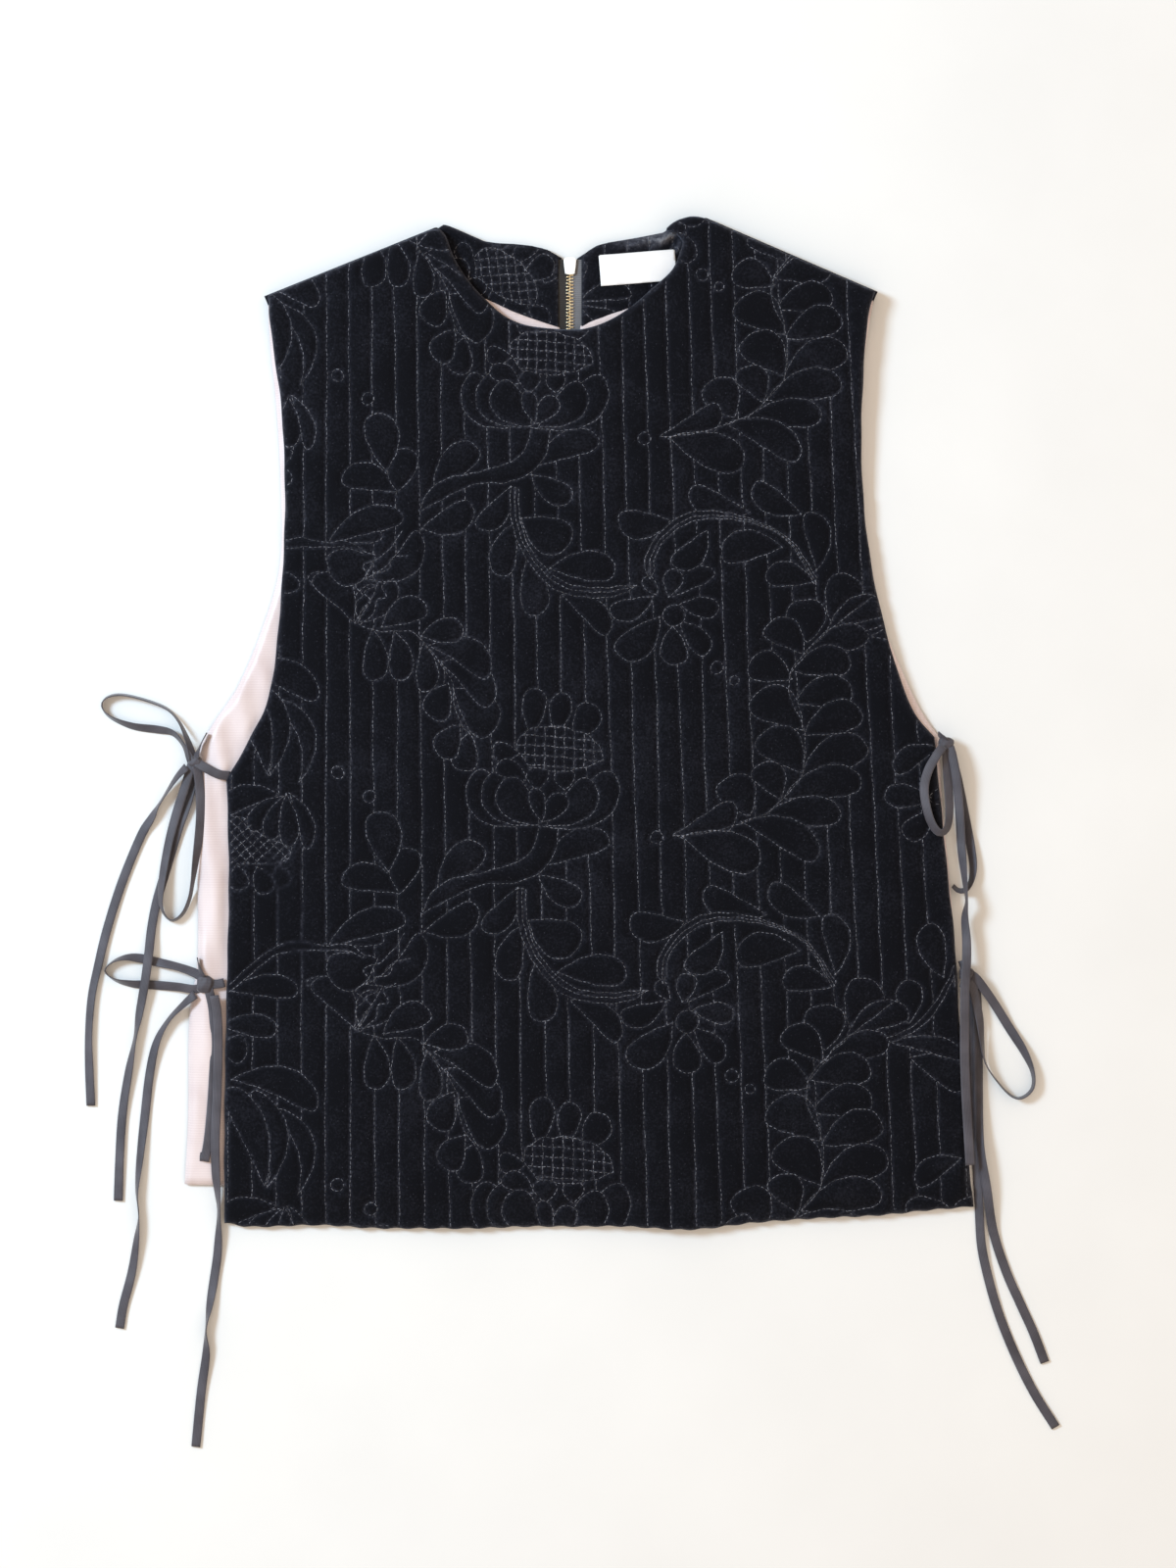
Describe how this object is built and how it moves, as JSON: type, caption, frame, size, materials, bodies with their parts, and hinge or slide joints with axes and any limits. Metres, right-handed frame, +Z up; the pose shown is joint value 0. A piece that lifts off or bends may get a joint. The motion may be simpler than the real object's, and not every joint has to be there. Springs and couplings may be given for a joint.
{
  "type": "quilted velvet waistcoat laid flat",
  "caption": "Sleeveless round-neck waistcoat top of dark quilted velvet, satin lined, zipped at the back and closed at the sides with ribbon bows, laid flat.",
  "frame": {"origin": "on the surface that the garment lies on, under the middle of the garment without its ties", "axes": "+Y towards the shoulders, +X to the right as seen from above, +Z up from the surface"},
  "size_m": [0.6166, 0.7795, 0.0153],
  "materials": {
    "velvet": "matt pile",
    "satin": "satin",
    "tie": "matt woven",
    "zip_tape": "matt woven",
    "brass": "polished",
    "label": "satin"
  },
  "bodies": {
    "garment": {"front_panel": "velvet", "back_panel_left": "velvet", "back_panel_right": "velvet", "neck_facing_left": "velvet", "neck_facing_right": "velvet", "front_lining": "satin", "back_lining_left": "satin", "back_lining_right": "satin", "zip_tape_left": "zip_tape", "zip_tape_right": "zip_tape", "zip_chain": "brass", "zip_slider": "brass", "bow_left_upper": "tie", "bow_left_lower": "tie", "bow_right_upper": "tie", "bow_right_lower": "tie", "tie_left_upper_tail_1": "tie", "tie_left_upper_tail_2": "tie", "tie_left_lower_tail_1": "tie", "tie_left_lower_tail_2": "tie", "tie_right_upper_tail_1": "tie", "tie_right_lower_tail_1": "tie", "tie_right_lower_tail_2": "tie", "label": "label"},
    "pull": {"zip_pull": "brass"}
  },
  "joints": [
    {"name": "pull_swing", "type": "hinge", "parent": "garment", "child": "pull", "pos_m": [-0.0056, 0.288, 0.00085], "axis": [1, 0, 0], "range_deg": [0, 170]}
  ]
}
